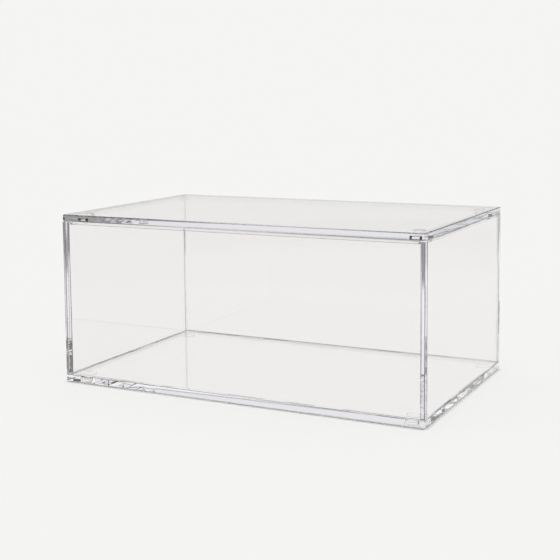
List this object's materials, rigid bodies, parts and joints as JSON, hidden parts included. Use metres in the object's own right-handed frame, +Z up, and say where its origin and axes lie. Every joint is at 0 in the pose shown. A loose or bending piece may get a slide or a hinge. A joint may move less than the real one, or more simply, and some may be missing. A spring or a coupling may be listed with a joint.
{
  "type": "model car display case",
  "caption": "Clear acrylic display case for a model car: a frameless glued box on clear feet, with a flush lift-off lid whose lip strips drop inside the walls.",
  "frame": {"origin": "middle of the footprint, on the table under the feet", "axes": "+X along the length, to the right seen from the front; +Y from front to back; +Z up"},
  "size_m": [0.34, 0.207, 0.152],
  "materials": {
    "acrylic_sheet": "polished",
    "acrylic_stud": "polished",
    "clear_foot": "gloss"
  },
  "bodies": {
    "case": {"base_plate": "acrylic_sheet", "front_wall": "acrylic_sheet", "back_wall": "acrylic_sheet", "left_wall": "acrylic_sheet", "right_wall": "acrylic_sheet", "foot_front_left": "clear_foot", "foot_front_right": "clear_foot", "foot_back_right": "clear_foot", "foot_back_left": "clear_foot"},
    "lid": {"lid_plate": "acrylic_sheet", "lip_front": "acrylic_sheet", "lip_back": "acrylic_sheet", "lip_left": "acrylic_sheet", "lip_right": "acrylic_sheet", "lid_stud_front_left": "acrylic_stud", "lid_stud_front_right": "acrylic_stud", "lid_stud_back_right": "acrylic_stud", "lid_stud_back_left": "acrylic_stud"}
  },
  "joints": [
    {"name": "lid_lift", "type": "slide", "parent": "case", "child": "lid", "axis": [0, 0, 1], "range_m": [0, 0.15]}
  ]
}
